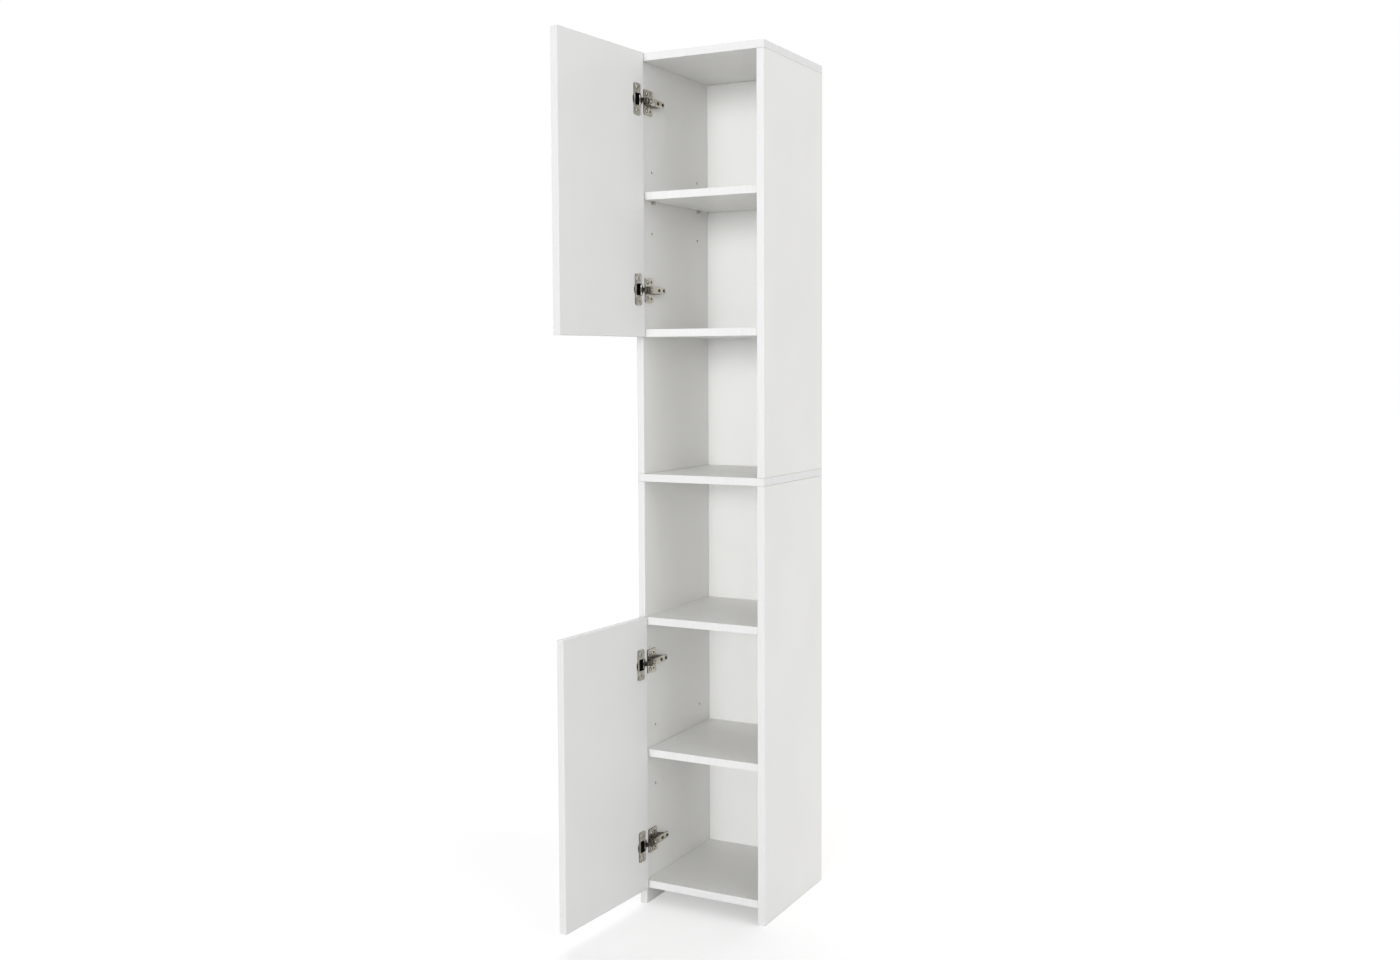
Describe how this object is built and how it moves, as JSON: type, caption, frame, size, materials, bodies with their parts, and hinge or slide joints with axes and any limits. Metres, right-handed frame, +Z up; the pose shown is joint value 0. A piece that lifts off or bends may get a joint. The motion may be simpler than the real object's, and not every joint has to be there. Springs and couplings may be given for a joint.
{
  "type": "tall bathroom storage cabinet",
  "caption": "Tall slim free-standing bathroom cabinet with doors above and below open middle shelves, doors on concealed cup hinges.",
  "frame": {"origin": "on the floor, at the middle of the footprint that the cabinet and its open doors take, which is the middle of the carcass's front edge to within 10 mm", "axes": "+X to the right seen from the front, +Y to the back, +Z up; the front faces -Y"},
  "size_m": [0.309, 0.5966, 1.8],
  "materials": {
    "carcass_board": "white melamine, satin",
    "door_board": "white melamine, satin",
    "back_board": "white lacquered hardboard",
    "hinge_metal": "nickel plated",
    "hinge_link": "plain steel",
    "shelf_support": "nickel plated",
    "dowel": "raw beech"
  },
  "bodies": {
    "cabinet": {"bottom_panel": "carcass_board", "bottom_panel_dowel_left_front": "dowel", "bottom_panel_dowel_left_rear": "dowel", "bottom_panel_dowel_right_front": "dowel", "bottom_panel_dowel_right_rear": "dowel", "lower_adjustable_shelf": "carcass_board", "lower_back_panel": "back_board", "lower_door_lower_hinge_arm": "hinge_metal", "lower_door_lower_hinge_plate": "hinge_metal", "lower_door_upper_hinge_arm": "hinge_metal", "lower_door_upper_hinge_plate": "hinge_metal", "lower_fixed_shelf": "carcass_board", "lower_fixed_shelf_dowel_left_front": "dowel", "lower_fixed_shelf_dowel_left_rear": "dowel", "lower_fixed_shelf_dowel_right_front": "dowel", "lower_fixed_shelf_dowel_right_rear": "dowel", "lower_left_side": "carcass_board", "lower_right_side": "carcass_board", "mid_dowel_left_front": "dowel", "mid_dowel_left_rear": "dowel", "mid_dowel_right_front": "dowel", "mid_dowel_right_rear": "dowel", "mid_panel": "carcass_board", "shelf_support_lower_left_front": "shelf_support", "shelf_support_lower_left_rear": "shelf_support", "shelf_support_lower_right_front": "shelf_support", "shelf_support_lower_right_rear": "shelf_support", "shelf_support_upper_left_front": "shelf_support", "shelf_support_upper_left_rear": "shelf_support", "shelf_support_upper_right_front": "shelf_support", "shelf_support_upper_right_rear": "shelf_support", "top_dowel_left_front": "dowel", "top_dowel_left_rear": "dowel", "top_dowel_right_front": "dowel", "top_dowel_right_rear": "dowel", "top_panel": "carcass_board", "upper_adjustable_shelf": "carcass_board", "upper_back_panel": "back_board", "upper_door_lower_hinge_arm": "hinge_metal", "upper_door_lower_hinge_plate": "hinge_metal", "upper_door_upper_hinge_arm": "hinge_metal", "upper_door_upper_hinge_plate": "hinge_metal", "upper_fixed_shelf": "carcass_board", "upper_fixed_shelf_dowel_left_front": "dowel", "upper_fixed_shelf_dowel_left_rear": "dowel", "upper_fixed_shelf_dowel_right_front": "dowel", "upper_fixed_shelf_dowel_right_rear": "dowel", "upper_left_side": "carcass_board", "upper_right_side": "carcass_board"},
    "lower_hinge_links": {"lower_door_lower_hinge_link": "hinge_link", "lower_door_upper_hinge_link": "hinge_link"},
    "lower_door_leaf": {"lower_door": "door_board", "lower_door_lower_hinge_cup": "hinge_metal", "lower_door_upper_hinge_cup": "hinge_metal"},
    "upper_hinge_links": {"upper_door_lower_hinge_link": "hinge_link", "upper_door_upper_hinge_link": "hinge_link"},
    "upper_door_leaf": {"upper_door": "door_board", "upper_door_lower_hinge_cup": "hinge_metal", "upper_door_upper_hinge_cup": "hinge_metal"}
  },
  "joints": [
    {"name": "lower_link_turn", "type": "hinge", "parent": "cabinet", "child": "lower_hinge_links", "pos_m": [-0.114, 0.00063, 0.329], "axis": [0, 0, 1], "range_deg": [-42.31, 4.96]},
    {"name": "lower_door_turn", "type": "hinge", "parent": "lower_hinge_links", "child": "lower_door_leaf", "pos_m": [-0.12129, -0.01522, 0.329], "axis": [0, 0, -1], "range_deg": [-136.3, 15.95]},
    {"name": "upper_link_turn", "type": "hinge", "parent": "cabinet", "child": "upper_hinge_links", "pos_m": [-0.114, 0.00063, 1.507], "axis": [0, 0, 1], "range_deg": [-42.31, 4.96]},
    {"name": "upper_door_turn", "type": "hinge", "parent": "upper_hinge_links", "child": "upper_door_leaf", "pos_m": [-0.12129, -0.01522, 1.507], "axis": [0, 0, -1], "range_deg": [-136.3, 15.95]}
  ],
  "couplings": [
    {"joint": "lower_link_turn", "follows": "lower_door_turn", "ratio": 0.31034},
    {"joint": "upper_link_turn", "follows": "upper_door_turn", "ratio": 0.31034}
  ]
}
